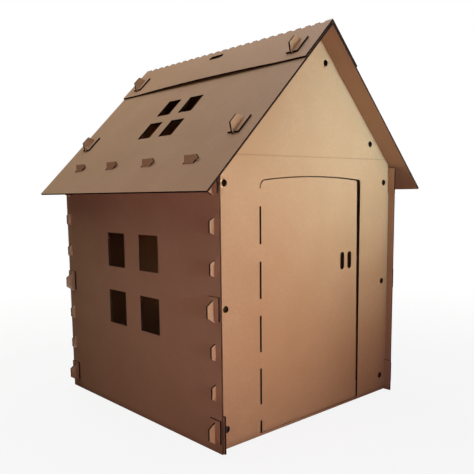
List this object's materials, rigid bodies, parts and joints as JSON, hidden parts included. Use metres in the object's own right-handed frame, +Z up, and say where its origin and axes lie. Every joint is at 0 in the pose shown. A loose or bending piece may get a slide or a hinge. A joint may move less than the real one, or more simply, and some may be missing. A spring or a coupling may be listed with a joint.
{
  "type": "cardboard playhouse",
  "caption": "Child's playhouse of slotted corrugated board with a pitched roof, ridge cap, door on a perforated fold, paned windows and locking clips.",
  "frame": {"origin": "on the floor, at the middle of the overall box, below the middle of the roof", "axes": "+Z up, the front with the door faces -Y, +X to the right of someone who faces the door"},
  "size_m": [1.194, 1.143, 1.4809],
  "materials": {
    "board": "uncoated kraft liner"
  },
  "bodies": {
    "root": {"front_left_corner_plate_high": "board", "front_left_corner_plate_low": "board", "front_left_roof_clip_high": "board", "front_left_roof_clip_low": "board", "front_left_wall_clip_high": "board", "front_left_wall_clip_low": "board", "front_left_wall_clip_middle": "board", "front_right_corner_plate_high": "board", "front_right_corner_plate_low": "board", "front_right_roof_clip_high": "board", "front_right_roof_clip_low": "board", "front_right_wall_clip_high": "board", "front_right_wall_clip_low": "board", "front_right_wall_clip_middle": "board", "front_wall": "board", "left_roof_panel": "board", "left_side_wall": "board", "rear_left_corner_plate_high": "board", "rear_left_corner_plate_low": "board", "rear_left_roof_clip_high": "board", "rear_left_roof_clip_low": "board", "rear_left_wall_clip_high": "board", "rear_left_wall_clip_low": "board", "rear_left_wall_clip_middle": "board", "rear_right_corner_plate_high": "board", "rear_right_corner_plate_low": "board", "rear_right_roof_clip_high": "board", "rear_right_roof_clip_low": "board", "rear_right_wall_clip_high": "board", "rear_right_wall_clip_low": "board", "rear_right_wall_clip_middle": "board", "rear_wall": "board", "ridge_cap": "board", "right_roof_panel": "board", "right_side_wall": "board"}
  },
  "joints": []
}
